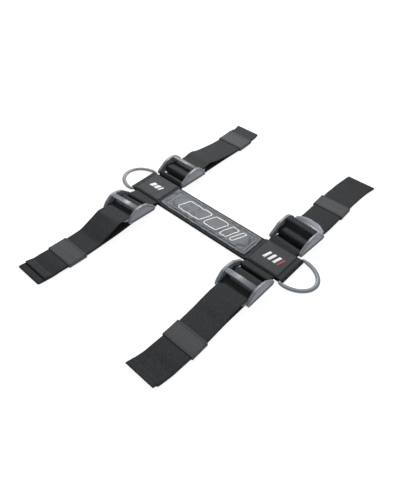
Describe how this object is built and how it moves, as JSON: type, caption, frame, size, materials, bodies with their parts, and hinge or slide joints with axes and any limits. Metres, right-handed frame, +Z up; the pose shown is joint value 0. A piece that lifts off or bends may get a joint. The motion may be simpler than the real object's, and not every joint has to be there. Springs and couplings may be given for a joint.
{
  "type": "webbing harness",
  "caption": "Four-arm webbing harness: a padded centre bar with a D-ring at each end and adjustable buckled strap loops, each with an elastic keeper.",
  "frame": {"origin": "the middle of the centre bar's underside, on the surface that the harness lies on", "axes": "+X along the centre bar towards the right-hand D-ring, +Y across the bar towards the two rear arms, +Z up out of the padded cover"},
  "size_m": [0.4042, 0.517, 0.0272],
  "materials": {
    "webbing": "woven nylon webbing, matt black",
    "elastic": "ribbed elastic, dark grey",
    "label": "fine woven label, black",
    "cover": "grained synthetic leather, dark slate grey",
    "foam": "closed-cell foam",
    "plastic": "satin moulded nylon, mid grey"
  },
  "bodies": {
    "frame": {"centre_strap": "webbing", "foam_pad": "foam", "pad_cover": "cover", "label_left": "label", "label_right": "label", "anchor_strap_left": "webbing", "anchor_strap_right": "webbing", "side_strap_left": "webbing", "side_strap_right": "webbing"},
    "arm_front_left": {"buckle_front_left": "plastic", "arm_strap_front_left": "webbing"},
    "arm_front_right": {"buckle_front_right": "plastic", "arm_strap_front_right": "webbing"},
    "arm_rear_left": {"buckle_rear_left": "plastic", "arm_strap_rear_left": "webbing"},
    "arm_rear_right": {"buckle_rear_right": "plastic", "arm_strap_rear_right": "webbing"},
    "keeper_front_left": {"keeper_front_left": "elastic"},
    "keeper_front_right": {"keeper_front_right": "elastic"},
    "keeper_rear_left": {"keeper_rear_left": "elastic"},
    "keeper_rear_right": {"keeper_rear_right": "elastic"},
    "d_ring_left": {"d_ring_left": "plastic"},
    "d_ring_right": {"d_ring_right": "plastic"}
  },
  "joints": [
    {"name": "arm_front_left_fold", "type": "hinge", "parent": "frame", "child": "arm_front_left", "pos_m": [-0.121, -0.043, 0.0057], "axis": [-0.9976, -0.0698, 0], "range_deg": [0, 70]},
    {"name": "arm_front_right_fold", "type": "hinge", "parent": "frame", "child": "arm_front_right", "pos_m": [0.121, -0.0375, 0.0057], "axis": [-1, 0, 0], "range_deg": [0, 70]},
    {"name": "arm_rear_left_fold", "type": "hinge", "parent": "frame", "child": "arm_rear_left", "pos_m": [-0.121, 0.032, 0.0105], "axis": [1, 0, 0], "range_deg": [0, 60]},
    {"name": "arm_rear_right_fold", "type": "hinge", "parent": "frame", "child": "arm_rear_right", "pos_m": [0.121, 0.0385, 0.0057], "axis": [0.9976, -0.0698, 0], "range_deg": [0, 70]},
    {"name": "keeper_front_left_slide", "type": "slide", "parent": "arm_front_left", "child": "keeper_front_left", "axis": [-0.025, -0.9997, 0], "range_m": [-0.02, 0.009]},
    {"name": "keeper_front_right_slide", "type": "slide", "parent": "arm_front_right", "child": "keeper_front_right", "axis": [0.02, -0.9998, 0], "range_m": [-0.024, 0.014]},
    {"name": "keeper_rear_left_slide", "type": "slide", "parent": "arm_rear_left", "child": "keeper_rear_left", "axis": [-0.02, 0.9998, 0], "range_m": [-0.014, 0.003]},
    {"name": "keeper_rear_right_slide", "type": "slide", "parent": "arm_rear_right", "child": "keeper_rear_right", "axis": [-0.03, 0.9996, 0], "range_m": [-0.008, 0.01]},
    {"name": "d_ring_left_swing", "type": "hinge", "parent": "frame", "child": "d_ring_left", "pos_m": [-0.1575, 0, 0.0039], "axis": [0, 1, 0], "range_deg": [0, 90]},
    {"name": "d_ring_right_swing", "type": "hinge", "parent": "frame", "child": "d_ring_right", "pos_m": [0.1575, 0, 0.0039], "axis": [0, -1, 0], "range_deg": [0, 90]}
  ]
}
